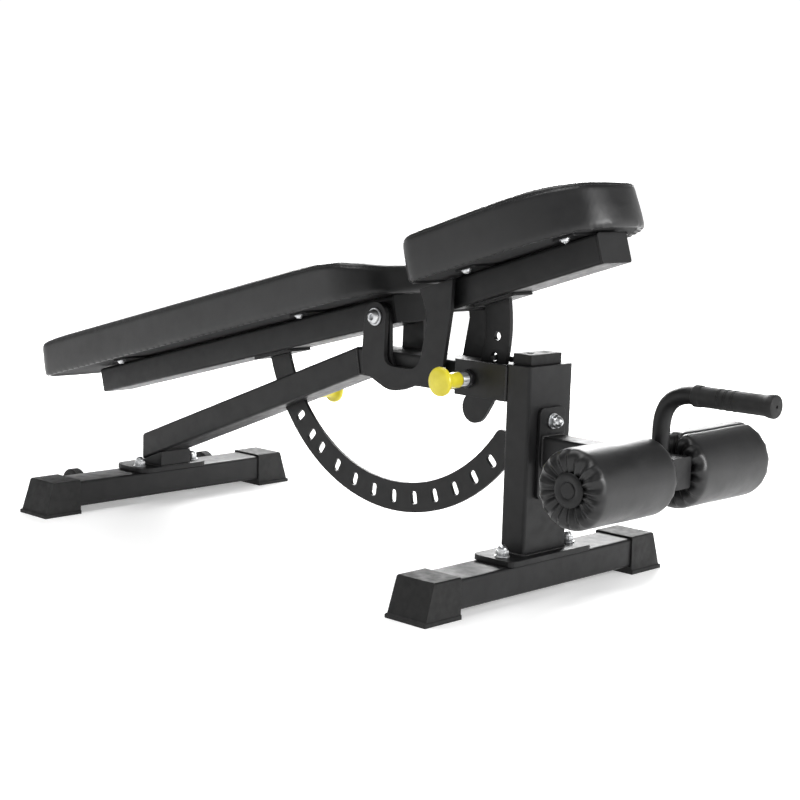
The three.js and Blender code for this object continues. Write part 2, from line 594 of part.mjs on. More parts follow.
function backBody() {
  const body = new THREE.Group();
  const tilted = onPivot(BACK_TILT);
  const crown = BACK_TUBE.rise + TUBE.height / 2;
  const { from, to, top } = BACK_PAD;
  const profile = points([
    [from + 9, 33.3], [to - 9, 33.3], [to, 42], [to, 74], [to - 6, 84], [26, 92], [-10, 101.5],
    [-67, 106], [-130, top], [-850, top], [from + 25, 104], [from + 10, 98], [from, 88], [from, 42],
  ]);
  const bore = rod(SLEEVE_RADIUS + GAP, -60, 60);
  const tube = tubeX(BACK_TUBE.from, BACK_TUBE.to, TUBE.width, TUBE.height, BACK_TUBE.rise);
  tilted.add(piece('back_tube', cut(tube, bore), powderCoat));
  [['head', BACK_TUBE.from, -1], ['seat', BACK_TUBE.to, 1]].forEach(([place, x, s]) => {
    const face = sheetYZ(shapeOf(roundedRectangle(TUBE.width, TUBE.height, TUBE.corner, 3)), GAP, 4);
    const insert = sheetYZ(plugInsert(TUBE.width, TUBE.height), -12, 1);
    const plug = join(face, insert).rotateZ(s < 0 ? Math.PI : 0);
    tilted.add(piece(`back_plug_${place}`, plug, blackPlastic, x, 0, BACK_TUBE.rise));
  });
  tilted.add(piece('back_pivot_sleeve', turned([
    [PIVOT_RADIUS + GAP, -37], [SLEEVE_RADIUS, -37], [SLEEVE_RADIUS, 37], [PIVOT_RADIUS + GAP, 37],
    [PIVOT_RADIUS + GAP, -37]]), zinc));
  tilted.add(padGroup('back', BACK_PAD, backPlan(), profile, crown, {
    head: [-722, WIDE_BOLT], seat: [-172, WIDE_BOLT],
  }));
  body.add(tilted);
  body.add(piece('ladder_arc', ladderArc(), powderCoat));
  return body;
}

// Ladder plate about the pivot with one slot for each back angle, and its tab under the tube.
function ladderArc() {
  const { inner, outer, end } = LADDER;
  const corner = 12;
  const turn = (r) => THREE.MathUtils.radToDeg(corner / r);
  const endCorner = (r, from) => {
    const a = rad(180 + end - turn(r));
    return arc(r * Math.cos(a), r * Math.sin(a), corner, from, from + 90, 4);
  };
  const outline = [
    ...arc(0, 0, outer, 180 + LADDER.start, 180 + end - turn(outer - corner), 44),
    ...endCorner(outer - corner, 180 + end),
    ...endCorner(inner + corner, 270 + end),
    ...arc(0, 0, inner, 180 + end - turn(inner + corner), 180 + LADDER.start, 40),
  ];
  const slots = LADDER_STEPS.map((step) => {
    const a = 180 + LADDER.latch + step;
    const middle = (inner + outer) / 2;
    return roundedRectangle(LADDER_SLOT.long, LADDER_SLOT.wide, LADDER_SLOT.corner, 2, middle, 0)
      .map((p) => p.rotateAround(new THREE.Vector2(), rad(a)));
  });
  const band = sheetXZ(shapeOf(outline, ...slots), -LADDER.thick / 2, LADDER.thick / 2);
  const under = BACK_TUBE.rise - TUBE.height / 2 - GAP;
  const above = box(-500, 0, -50, 50, under - 2, 300).rotateY(-rad(BACK_TILT));
  const tab = box(-372, -268, -26, 26, under - 5, under).rotateY(-rad(BACK_TILT));
  return join(cut(band, above), tab);
}

// ---- Assembly -----------------------------------------------------------------------------
const bench = new THREE.Group();
bench.add(foot('rear', FOOT.rear, 0, REAR_BOLT));
bench.add(foot('front', FOOT.front, FOOT.spacing, FRONT_BOLT));
bench.add(piece('rear_base_plate', rearBase(), powderCoat));
bench.add(piece('spine_slope', spineSlope(), powderCoat));
bench.add(piece('spine_level', spineLevel(), powderCoat));
bench.add(piece('front_post', frontPost(), powderCoat));
bench.add(piece('post_bumper', bumper(), rubber));
SIDES.forEach(([side, s]) => {
  bench.add(piece(`pivot_bracket_${side}`, pivotBracket(s), powderCoat, PIVOT.x, 0, PIVOT.z));
  bench.add(piece(`post_cheek_${side}`, postCheek(s), powderCoat));
  bench.add(piece(`wheel_bracket_${side}`, wheelBracket(s), powderCoat));
  bench.add(piece(`transport_wheel_${side}`, wheel(), rubber, WHEEL.x, s * WHEEL.y, WHEEL.z));
});
bench.add(piece('pivot_bolt', pivotBolt(), zinc, PIVOT.x, 0, PIVOT.z));

function pullPin(name, latch, seat, plateHalf, side) {
  const group = new THREE.Group();
  group.add(piece(`${name}_pin_barrel`, pinBarrel(), zinc));
  group.add(piece(`${name}_pin_plunger`, pinPlunger(seat - plateHalf - 1), zinc));
  group.add(piece(`${name}_pin_knob`, pinKnob(), yellowPlastic));
  group.position.set(latch.x, side * seat, latch.z);
  group.rotation.z = side < 0 ? Math.PI : 0;
  return group;
}
bench.add(pullPin('seat', strapLatch, CHEEK.outside + GAP, STRAP.thick / 2, -1));
bench.add(pullPin('back', ladderLatch, SPINE.half + GAP, LADDER.thick / 2, 1));

bench.add(piece('leg_holder_arm', legHolderArm(), powderCoat));
bench.add(piece('leg_holder_plug', join(
  sheetYZ(shapeOf(roundedRectangle(2 * ARM.half, 50, TUBE.corner, 3)), ARM.end + GAP, ARM.end + 4),
  sheetYZ(plugInsert(2 * ARM.half, 50), ARM.end - 15, ARM.end + 1)), blackPlastic,
0, 0, (ARM.top + ARM.bottom) / 2));
LEG_BOLT_HEIGHTS.forEach((z, i) => {
  bench.add(piece(`leg_holder_bolt_${i === 0 ? 'upper' : 'lower'}`, legHolderBolt(), zinc, 0, 0, z));
});
bench.add(piece('roller_shaft', rod(SHAFT_RADIUS, -ROLLER.outside + 4, ROLLER.outside - 4), zinc,
  ROLLER.x, 0, ROLLER.z));
SIDES.forEach(([side, s]) => {
  const group = new THREE.Group();
  group.add(piece(`roller_${side}`, roller(), vinyl));
  group.add(piece(`roller_cap_${side}`, rollerCap(), blackPlastic));
  group.position.set(ROLLER.x, 0, ROLLER.z);
  group.rotation.z = s < 0 ? Math.PI : 0;
  bench.add(group);
});
bench.add(piece('handle_tube', handleTube(), powderCoat));
bench.add(piece('handle_grip', grip(), rubber));

const seat = seatBody();
const back = backBody();
seat.position.copy(PIVOT);
back.position.copy(PIVOT);
bench.add(seat, back);

// The origin is the middle of the footprint's box, on the floor.
const bounds = new THREE.Box3().setFromObject(bench, true);
bench.position.x = -(bounds.min.x + bounds.max.x) / 2;

export default bench;
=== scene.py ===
"""Looks of the adjustable weight bench: materials, cushions, welds, fasteners, lights, camera."""
import json
import math

import bpy
import numpy as np
from mathutils import Matrix, Quaternion, Vector
from mathutils.bvhtree import BVHTree
from mathutils.kdtree import KDTree


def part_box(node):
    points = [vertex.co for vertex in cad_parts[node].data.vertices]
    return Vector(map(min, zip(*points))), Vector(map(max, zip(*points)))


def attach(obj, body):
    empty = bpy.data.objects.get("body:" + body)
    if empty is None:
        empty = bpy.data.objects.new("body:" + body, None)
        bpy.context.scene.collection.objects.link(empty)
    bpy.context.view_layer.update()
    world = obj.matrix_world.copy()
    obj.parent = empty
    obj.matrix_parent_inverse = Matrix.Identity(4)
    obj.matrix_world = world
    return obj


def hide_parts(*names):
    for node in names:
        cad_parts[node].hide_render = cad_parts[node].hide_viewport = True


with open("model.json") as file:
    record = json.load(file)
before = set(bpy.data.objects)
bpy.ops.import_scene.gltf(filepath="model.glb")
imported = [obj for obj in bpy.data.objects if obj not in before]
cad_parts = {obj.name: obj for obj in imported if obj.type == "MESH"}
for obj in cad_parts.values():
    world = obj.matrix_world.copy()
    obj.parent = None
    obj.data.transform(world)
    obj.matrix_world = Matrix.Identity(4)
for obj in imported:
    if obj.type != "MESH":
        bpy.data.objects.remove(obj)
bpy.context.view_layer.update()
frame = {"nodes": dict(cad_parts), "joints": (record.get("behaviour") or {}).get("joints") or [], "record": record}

MM = 0.001
X, Y, Z = Vector((1, 0, 0)), Vector((0, 1, 0)), Vector((0, 0, 1))
JOINTS = {joint["name"]: joint for joint in frame["joints"]}
PIVOT = Vector(JOINTS["seat_pivot"]["pos_m"])
SIDES = (("near", -1), ("far", 1))

BACK_TILT = 14.6
SEAT_TILT = 17.4
BACK_MATRIX = Matrix.Translation(PIVOT) @ Matrix.Rotation(-math.radians(BACK_TILT), 4, "Y")
SEAT_MATRIX = Matrix.Translation(PIVOT) @ Matrix.Rotation(-math.radians(SEAT_TILT), 4, "Y")


# ---- Materials ------------------------------------------------------------------------------------
class Shader:
    """A material with one Principled shader and a chain of small procedural bumps."""

    def __init__(self, name, color, roughness, metallic=0.0, **sockets):
        self.material = bpy.data.materials.new(name)
        self.material.use_nodes = True
        self.nodes = self.material.node_tree.nodes
        self.links = self.material.node_tree.links
        self.shader = self.nodes["Principled BSDF"]
        self.shader.inputs["Base Color"].default_value = (*color, 1)
        self.shader.inputs["Roughness"].default_value = roughness
        self.shader.inputs["Metallic"].default_value = metallic
        for socket, value in sockets.items():
            self.shader.inputs[socket.replace("_", " ")].default_value = value
        self.place = self.nodes.new("ShaderNodeTexCoord").outputs["Object"]
        self.normal = None

    def noise(self, scale, detail=4.0, stretch=None):
        texture = self.nodes.new("ShaderNodeTexNoise")
        texture.inputs["Scale"].default_value = scale
        texture.inputs["Detail"].default_value = detail
        place = self.place
        if stretch:
            mapping = self.nodes.new("ShaderNodeMapping")
            mapping.inputs["Scale"].default_value = stretch
            self.links.new(place, mapping.inputs["Vector"])
            place = mapping.outputs["Vector"]
        self.links.new(place, texture.inputs["Vector"])
        return texture.outputs["Fac"]

    def cells(self, scale):
        texture = self.nodes.new("ShaderNodeTexVoronoi")
        texture.feature = "DISTANCE_TO_EDGE"
        texture.inputs["Scale"].default_value = scale
        self.links.new(self.place, texture.inputs["Vector"])
        return texture.outputs["Distance"]

    def spread(self, source, low, high, start=0.3, end=0.7):
        band = self.nodes.new("ShaderNodeMapRange")
        for socket, value in zip(("From Min", "From Max", "To Min", "To Max"), (start, end, low, high)):
            band.inputs[socket].default_value = value
        self.links.new(source, band.inputs["Value"])
        return band.outputs["Result"]

    def mottle(self, source, dark, light):
        """Colour between two tones."""
        mix = self.nodes.new("ShaderNodeMix")
        mix.data_type = "RGBA"
        mix.inputs["A"].default_value = (*dark, 1)
        mix.inputs["B"].default_value = (*light, 1)
        self.links.new(self.spread(source, 0, 1), mix.inputs["Factor"])
        self.links.new(mix.outputs["Result"], self.shader.inputs["Base Color"])

    def uneven(self, source, low, high):
        """Roughness between two values."""
        self.links.new(self.spread(source, low, high), self.shader.inputs["Roughness"])

    def round_edges(self, radius):
        """Softens hard edges in the shading, as a worn or coated edge catches light."""
        edge = self.nodes.new("ShaderNodeBevel")
        edge.samples = 6
        edge.inputs["Radius"].default_value = radius
        self.normal = edge.outputs["Normal"]
        self.links.new(self.normal, self.shader.inputs["Normal"])

    def bump(self, source, strength, distance):
        bump = self.nodes.new("ShaderNodeBump")
        bump.inputs["Strength"].default_value = strength
        bump.inputs["Distance"].default_value = distance
        self.links.new(source, bump.inputs["Height"])
        if self.normal:
            self.links.new(self.normal, bump.inputs["Normal"])
        self.normal = bump.outputs["Normal"]
        self.links.new(self.normal, self.shader.inputs["Normal"])


def powder_coat():
    look = Shader("powder_coat", (0.007, 0.007, 0.0074), 0.4, Specular_IOR_Level=0.3)
    look.mottle(look.noise(18), (0.006, 0.006, 0.0064), (0.0105, 0.0105, 0.011))
    look.uneven(look.noise(60), 0.36, 0.5)
    look.round_edges(1.6 * MM)
    look.bump(look.noise(1400, 2), 0.16, 0.25 * MM)
    return look.material


def vinyl():
    look = Shader("vinyl", (0.007, 0.007, 0.0074), 0.42, Specular_IOR_Level=0.42, Coat_Weight=0.12,
                  Coat_Roughness=0.35)
    look.mottle(look.noise(9), (0.0055, 0.0055, 0.0058), (0.0095, 0.0095, 0.01))
    look.uneven(look.noise(35), 0.34, 0.47)
    look.bump(look.cells(650), 0.22, 0.3 * MM)
    look.bump(look.noise(45, 5), 0.18, 1.2 * MM)
    return look.material


def rubber():
    look = Shader("rubber", (0.009, 0.009, 0.009), 0.56, Specular_IOR_Level=0.34)
    look.mottle(look.noise(30), (0.0075, 0.0075, 0.0075), (0.012, 0.012, 0.012))
    look.uneven(look.noise(80), 0.52, 0.7)
    look.round_edges(1.2 * MM)
    look.bump(look.noise(900, 3), 0.2, 0.25 * MM)
    return look.material


def black_plastic():
    look = Shader("black_plastic", (0.007, 0.007, 0.0075), 0.45, Specular_IOR_Level=0.34)
    look.mottle(look.noise(25), (0.006, 0.006, 0.0063), (0.0095, 0.0095, 0.01))
    look.uneven(look.noise(70), 0.38, 0.52)
    look.round_edges(1.5 * MM)
    look.bump(look.noise(1800, 2), 0.14, 0.2 * MM)
    return look.material


def yellow_plastic():
    look = Shader("yellow_plastic", (0.72, 0.62, 0.03), 0.32, Coat_Weight=0.2, Coat_Roughness=0.2)
    look.mottle(look.noise(40), (0.66, 0.56, 0.02), (0.78, 0.68, 0.045))
    look.uneven(look.noise(90), 0.27, 0.38)
    look.bump(look.noise(1500, 2), 0.06, 0.15 * MM)
    return look.material


def zinc():
    look = Shader("zinc", (0.68, 0.69, 0.7), 0.24, 1.0)
    look.mottle(look.noise(160), (0.58, 0.59, 0.6), (0.74, 0.75, 0.76))
    look.uneven(look.noise(240), 0.26, 0.38)
    look.round_edges(0.5 * MM)
    return look.material


def black_steel():
    look = Shader("black_steel", (0.03, 0.03, 0.032), 0.36, 0.6)
    look.mottle(look.noise(120), (0.02, 0.02, 0.022), (0.045, 0.045, 0.048))
    look.uneven(look.noise(200), 0.3, 0.45)
    look.round_edges(0.6 * MM)
    return look.material


def weld_steel():
    look = Shader("weld_bead", (0.01, 0.01, 0.0105), 0.34, Specular_IOR_Level=0.45)
    look.mottle(look.noise(220), (0.008, 0.008, 0.0084), (0.014, 0.014, 0.0145))
    look.uneven(look.noise(300), 0.3, 0.46)
    look.bump(look.noise(700, 3), 0.2, 0.2 * MM)
    return look.material


def dust_cloth():
    look = Shader("dust_cloth", (0.02, 0.02, 0.021), 0.9)
    look.mottle(look.noise(14), (0.015, 0.015, 0.016), (0.028, 0.028, 0.029))
    look.uneven(look.noise(120), 0.82, 0.95)
    look.bump(look.noise(600, 4, stretch=(1, 0.25, 1)), 0.4, 0.3 * MM)
    return look.material


def thread():
    look = Shader("thread", (0.03, 0.03, 0.031), 0.7)
    look.mottle(look.noise(600), (0.022, 0.022, 0.023), (0.045, 0.045, 0.046))
    look.bump(look.noise(2500, 2), 0.5, 0.15 * MM)
    return look.material


def floor_paint_and_glow():
    look = Shader("floor", (0.86, 0.86, 0.86), 0.7)
    look.mottle(look.noise(0.8), (0.85, 0.85, 0.85), (0.875, 0.875, 0.875))
    # Painted light: the floor glows white, at strength 0.3 within 1 m of the origin, rising to 0.95 at 4.5 m, so
    # that it stays white where the lamps fall off.
    look.shader.inputs["Emission Color"].default_value = (1, 1, 1, 1)
    reach = look.nodes.new("ShaderNodeVectorMath")
    reach.operation = "LENGTH"
    look.links.new(look.place, reach.inputs[0])
    glow = look.spread(reach.outputs["Value"], 0.3, 0.95, 1.0, 4.5)
    look.links.new(glow, look.shader.inputs["Emission Strength"])
    return look.material


LOOKS = {
    "powder_coat": powder_coat(), "vinyl": vinyl(), "rubber": rubber(), "black_plastic": black_plastic(),
    "yellow_plastic": yellow_plastic(), "zinc": zinc(), "plywood": dust_cloth(),
}
BLACK_STEEL, WELD, THREAD = black_steel(), weld_steel(), thread()

for part in frame["record"]["subparts"]:
    mesh = frame["nodes"][part["node"]].data
    mesh.materials.clear()
    mesh.materials.append(LOOKS[part["material_slot"]])


# ---- Mesh helpers ---------------------------------------------------------------------------------
def body_of(node):
    """The name of the CAD body that holds a node."""
    return next(body for body, nodes in frame["record"]["behaviour"]["bodies"].items() if node in nodes)


def show(name, vertices, faces, material, body, slot, nodes=(), sharp=35):
    """A new piece from plain vertices and faces, riding on a body and standing for its CAD nodes."""
    mesh = bpy.data.meshes.new(name)
    mesh.from_pydata([tuple(v) for v in vertices], [], faces)
    mesh.validate()
    mesh.update()
    mesh.polygons.foreach_set("use_smooth", [True] * len(mesh.polygons))
    mesh.set_sharp_from_angle(angle=math.radians(sharp))
    mesh.materials.append(material)
    piece = bpy.data.objects.new(name, mesh)
    bpy.context.scene.collection.objects.link(piece)
    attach(piece, body)
    if nodes:
        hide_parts(*nodes)
    return piece


def turned(profile, origin, direction, segments=64, wobble=None):
    """A closed turned solid, from (radius, distance) pairs that start and end on the axis."""
    turn = direction.to_track_quat("Z", "Y")
    vertices, faces, rings = [], [], []
    for radius, distance in profile:
        count = segments if radius > 1e-6 else 1
        rings.append(range(len(vertices), len(vertices) + count))
        for i in range(count):
            angle = 2 * math.pi * i / segments
            r, d = wobble(radius, distance, angle) if wobble and count > 1 else (radius, distance)
            vertices.append(origin + turn @ Vector((r * math.cos(angle), r * math.sin(angle), d)))
    for a, b in zip(rings, rings[1:]):
        for i in range(segments):
            j = (i + 1) % segments
            corners = [a[i % len(a)], a[j % len(a)], b[j % len(b)], b[i % len(b)]]
            face = list(dict.fromkeys(corners))
            if len(face) > 2:
                faces.append(face)
    return vertices, faces


def in_mm(*pairs):
    """(radius, distance) pairs given in millimetres, as metres."""
    return [(radius * MM, distance * MM) for radius, distance in pairs]


def merged(*parts):
    """Several (vertices, faces) pairs as one."""
    vertices, faces = [], []
    for more, shapes in parts:
        start = len(vertices)
        vertices += more
        faces += [[start + i for i in face] for face in shapes]
    return vertices, faces


def hexagon(across, base, top, origin, direction):
    """A chamfered hexagonal prism."""
    def rounded(radius, distance, angle):
        flat = across / 2 / math.cos((angle + math.pi / 6) % (math.pi / 3) - math.pi / 6)
        return min(radius, flat), distance
    corner = across / 2 / math.cos(math.pi / 6)
    chamfer = corner - across / 2
    profile = [(0, base), (across / 2, base), (corner, base + chamfer * 0.5),
               (corner, top - chamfer * 0.5), (across / 2, top), (0, top)]
    return turned(profile, origin, direction, 72, rounded)


def tube(points, radius, sides=24):
    """A round closed tube along points; radius is a number or one number for each point."""
    radii = radius if isinstance(radius, list) else [radius] * len(points)
    tangents = [(points[min(i + 1, len(points) - 1)] - points[max(i - 1, 0)]).normalized()
                for i in range(len(points))]
    across = tangents[0].orthogonal().normalized()
    vertices, faces = [], []
    for point, tangent, r in zip(points, tangents, radii):
        across = (across - tangent * across.dot(tangent)).normalized()
        up = tangent.cross(across)
        vertices += [point + r * (across * math.cos(a) + up * math.sin(a))
                     for a in (2 * math.pi * k / sides for k in range(sides))]
    for i in range(len(points) - 1):
        for k in range(sides):
            n = (k + 1) % sides
            faces.append([i * sides + k, i * sides + n, (i + 1) * sides + n, (i + 1) * sides + k])
    faces.append(list(range(sides))[::-1])
    faces.append([(len(points) - 1) * sides + k for k in range(sides)])
    return vertices, faces


def spaced(corners, step, closed=False):
    """Points every step metres along a polyline."""
    ends = corners + corners[:1] if closed else corners
    points = []
    for a, b in zip(ends, ends[1:]):
        count = max(1, round((b - a).length / step))
        points += [a.lerp(b, i / count) for i in range(count)]
    return points + [ends[-1]]


# ---- Welds ----------------------------------------------------------------------------------------
def weld(name, corners, body, closed=False, size=2.4 * MM):
    """A bead of overlapping ripples along a seam between two welded parts."""
    points = spaced(corners, 0.8 * MM, closed)
    radii = [size * (1 + 0.16 * math.sin(i * 2.1) + 0.07 * math.sin(i * 0.37))
             for i in range(len(points))]
    return show(name, *tube(points, radii, 8), WELD, body, "powder_coat", sharp=180)


def rectangle(x, y, z, half_x, half_y, corner=5 * MM):
    """A level rectangle with cut corners about (x, y, z)."""
    outline = []
    for sx, sy in ((1, 1), (-1, 1), (-1, -1), (1, -1)):
        first = Vector((x + sx * half_x, y + sy * (half_y - corner), z))
        second = Vector((x + sx * (half_x - corner), y + sy * half_y, z))
        outline += [first, second] if sx * sy > 0 else [second, first]
    return outline


# Where the beads run: on the two base plates, along the spine's sides and up the post's cheeks.
BASE_TOP = 72.3 * MM
SPINE_SIDE = 38.6 * MM
CHEEK_SIDE = 54.4 * MM


def welds():
    low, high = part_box("front_post")
    middle = (low.x + high.x) / 2
    weld("weld_post_foot", rectangle(middle, 0, BASE_TOP, 25 * MM, 55 * MM), "frame", True)
    stub_low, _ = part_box("spine_slope")
    stub = rectangle(stub_low.x + 30 * MM, 0, BASE_TOP, 30 * MM, 37.6 * MM)
    weld("weld_spine_foot", stub, "frame", True)

    level_low, level_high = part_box("spine_level")
    for side, s in SIDES:
        y = s * SPINE_SIDE
        seam = [Vector((level_low.x + 3 * MM, y, level_high.z - 2 * MM)),
                Vector((level_low.x + 12 * MM, y, level_low.z + 3 * MM))]
        weld(f"weld_mitre_{side}", seam, "frame", size=2 * MM)
        bracket_low, bracket_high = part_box(f"pivot_bracket_{side}")
        seam = [Vector((bracket_low.x + 1 * MM, s * 46 * MM, 330 * MM)),
                Vector((bracket_low.x + 1 * MM, s * 39 * MM, 348 * MM))]
        weld(f"weld_bracket_{side}_rear", seam, "frame", size=2 * MM)
        seam = [Vector((bracket_high.x, y, 328 * MM)), Vector((bracket_high.x, y, 350 * MM))]
        weld(f"weld_bracket_{side}_front", seam, "frame")
        cheek_low, cheek_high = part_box(f"post_cheek_{side}")
        seam = [Vector((cheek_high.x, s * CHEEK_SIDE, cheek_low.z + 2 * MM)),
                Vector((cheek_high.x, s * CHEEK_SIDE, cheek_high.z - 2 * MM))]
        weld(f"weld_cheek_{side}_post", seam, "frame")
        seam = [Vector((cheek_low.x, s * 39 * MM, 326 * MM)), Vector((cheek_low.x, s * 39 * MM, 371 * MM))]
        weld(f"weld_cheek_{side}_spine", seam, "frame")
    arm_low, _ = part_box("leg_holder_arm")
    face_x = arm_low.x + 6.6 * MM
    square = [Vector((face_x, y, z)) for y, z in ((-25 * MM, 218 * MM), (25 * MM, 218 * MM),
                                                 (25 * MM, 268 * MM), (-25 * MM, 268 * MM))]
    weld("weld_arm", square, "frame", True)
    handle_low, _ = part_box("handle_tube")
    foot = Vector((handle_low.x + HANDLE_RADIUS, 0, 268.2 * MM))
    ring = [foot + 14.3 * MM * Vector((math.cos(a), math.sin(a), 0))
            for a in (2 * math.pi * i / 40 for i in range(40))]
    weld("weld_handle", ring, "frame", True, 2 * MM)

    # Tabs under the two tubes and the seat's bridge plate.
    for name, matrix, z, x0, x1, half, body in (
            ("ladder", BACK_MATRIX, -17.2, -372, -268, 26, "back"),
            ("strap", SEAT_MATRIX, -25.4, 198, 290, 24, "seat")):
        for side, s in SIDES:
            line = [matrix @ (Vector((x, s * half, z)) * MM) for x in (x0 + 4, x1 - 4)]
            weld(f"weld_{name}_tab_{side}", line, body, size=1.8 * MM)
    bridge = [SEAT_MATRIX @ (Vector((157.6, y, z)) * MM)
              for y, z in ((-37, 21), (-37, -24), (37, -24), (37, 21))]
    weld("weld_bridge", bridge, "seat", size=2.2 * MM)


# ---- Fasteners ------------------------------------------------------------------------------------
def dome_nut_shape(origin, direction):
    rim = in_mm((0, 0), (12.6, 0), (13, 0.4), (13, 2), (12.6, 2.4), (0, 2.4))
    washer = turned(rim, origin, direction, 48)
    nut = hexagon(19 * MM, 2.5 * MM, 11.5 * MM, origin, direction)
    dome = [(0, 10 * MM), (8.6 * MM, 10 * MM), (8.6 * MM, 12 * MM)]
    dome += [(8.4 * MM * math.cos(a), 12 * MM + 8 * MM * math.sin(a))
             for a in (math.pi / 2 * i / 8 for i in range(1, 8))]
    dome += [(0, 20 * MM)]
    return merged(washer, nut, turned(dome, origin, direction, 48))


def dome_nuts():
    for foot in ("rear", "front"):
        for side, _ in SIDES:
            node = f"{foot}_foot_bolt_{side}"
            low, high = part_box(node)
            x, y = (low.x + high.x) / 2, (low.y + high.y) / 2
            top = Vector((x, y, high.z - 20 * MM))
            head = hexagon(19 * MM, 0, 4.3 * MM, Vector((x, y, low.z)), Z)
            shank = turned([(0, 0), (6 * MM, 0), (6 * MM, top.z - low.z), (0, top.z - low.z)],
                           Vector((x, y, low.z)), Z, 32)
            show(node + "_shown", *merged(dome_nut_shape(top, Z), head, shank), LOOKS["zinc"],
                 "frame", "zinc", [node])
    for place in ("upper", "lower"):
        node = f"leg_holder_bolt_{place}"
        low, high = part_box(node)
        y, z = (low.y + high.y) / 2, (low.z + high.z) / 2
        top = Vector((high.x - 20 * MM, y, z))
        head = hexagon(19 * MM, 0, 7.6 * MM, Vector((low.x, y, z)), X)
        shank = turned([(0, 0), (6 * MM, 0), (6 * MM, top.x - low.x), (0, top.x - low.x)],
                       Vector((low.x, y, z)), X, 32)
        show(node + "_shown", *merged(dome_nut_shape(top, X), head, shank), LOOKS["zinc"],
             "frame", "zinc", [node])


def pivot_bolt():
    """Button head with a hexagonal socket on the near side, locking nut on the far side."""
    face = 58.3 * MM
    head = in_mm((0, 3.2), (13.2, 3.2), (13.2, 4.6), (12, 7.6), (9.5, 9.8), (6.5, 10.8), (5, 10.2),
                 (4.6, 5.5), (0, 5.5))
    washer = in_mm((0, 0), (15, 0), (15.5, 0.5), (15.5, 2.6), (15, 3.1), (0, 3.1))
    near, far = PIVOT - Y * face, PIVOT + Y * face
    radius, length = 8 * MM, 2 * face + 12 * MM
    shank = turned([(0, 0), (radius, 0), (radius, length), (0, length)], near, Y, 48)
    nut = hexagon(24 * MM, 3.2 * MM, 13 * MM, far, Y)
    collar = turned([(0, 13 * MM), (10 * MM, 13 * MM), (9 * MM, 15 * MM), (0, 15 * MM)], far, Y, 48)
    shapes = merged(turned(head, near, -Y, 64), turned(washer, near, -Y, 64),
                    turned(washer, far, Y, 64), shank, nut, collar)
    show("pivot_bolt_shown", *shapes, LOOKS["zinc"], "frame", "zinc", ["pivot_bolt"])


PAD_BOLTS = (
    ("back", "head", BACK_MATRIX, 33, -722, 78), ("back", "seat", BACK_MATRIX, 33, -172, 78),
    ("seat", "rear", SEAT_MATRIX, 25, 246, 78), ("seat", "front", SEAT_MATRIX, 25, 448, 66),
)


def pad_bolts():
    """Button-head bolts with washers, two under each pad bracket."""
    for pad, end, matrix, crown, x, half in PAD_BOLTS:
        down = matrix.to_3x3() @ -Z
        for side, s in SIDES:
            origin = matrix @ (Vector((x, s * half, crown + 0.2)) * MM)
            washer = turned(in_mm((0, 0), (9, 0), (9, 1.5), (0, 1.5)), origin, down, 40)
            head = in_mm((0, 1.5), (7.4, 1.5), (7, 3.4), (5.4, 5.4), (3, 6.2), (2.6, 4), (0, 4))
            shapes = merged(washer, turned(head, origin, down, 48))
            show(f"{pad}_pad_bolt_{end}_{side}", *shapes, LOOKS["zinc"], pad, "zinc")


def bumper_screws():
    low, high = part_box("post_bumper")
    for side, s in SIDES:
        origin = Vector(((low.x + high.x) / 2, s * 19 * MM, high.z - 6.5 * MM))
        head = in_mm((0, -5), (5.6, -5), (5.6, 1), (5, 2.6), (3, 3.4), (2.4, 1.2), (0, 1.2))
        show(f"bumper_screw_{side}", *turned(head, origin, Z, 40), LOOKS["zinc"], "frame", "zinc")


def pull_pin(name, side):
    """Threaded barrel with its black locknut on the frame, and the sprung yellow knob."""
    low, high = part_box(f"{name}_barrel")
    out = Y * side
    seat_y = (low.y + 8 * MM) if side > 0 else (high.y - 8 * MM)
    origin = Vector(((low.x + high.x) / 2, seat_y, (low.z + high.z) / 2))
    locknut = hexagon(28 * MM, 0.2 * MM, 8.4 * MM, origin, out)
    show(f"{name}_locknut", *locknut, BLACK_STEEL, "frame", "zinc")
    barrel = [(0, -8 * MM), (9.4 * MM, -8 * MM), (9.4 * MM, 6 * MM), (11.3 * MM, 8.6 * MM)]
    thread_turns = 7
    for i in range(thread_turns):
        at = (10.2 + 2.0 * i) * MM
        barrel += [(11.5 * MM, at), (10.9 * MM, at + 1 * MM)]
    barrel += [(11.5 * MM, 25 * MM), (11.5 * MM, 40 * MM), (10 * MM, 42 * MM), (0, 42 * MM)]
    show(f"{name}_barrel", *turned(barrel, origin, out, 72), LOOKS["zinc"], "frame", "zinc",
         [f"{name}_barrel"])
    knob = in_mm(
        (0, 44), (11.9, 44), (11.9, 27), (13, 27), (13.4, 28), (13.3, 40), (12.4, 50), (12.6, 56),
        (14.4, 61), (19, 63.6), (22.5, 65), (24.1, 67), (24.5, 69.4), (24.1, 71.8), (22.6, 73.9),
        (19, 75.3), (13, 76.3), (6, 76.9), (0, 77))
    node = f"{name}_knob"
    show(f"{name}_knob", *turned(knob, origin, out, 80), LOOKS["yellow_plastic"], body_of(node),
         "yellow_plastic", [node], sharp=60)


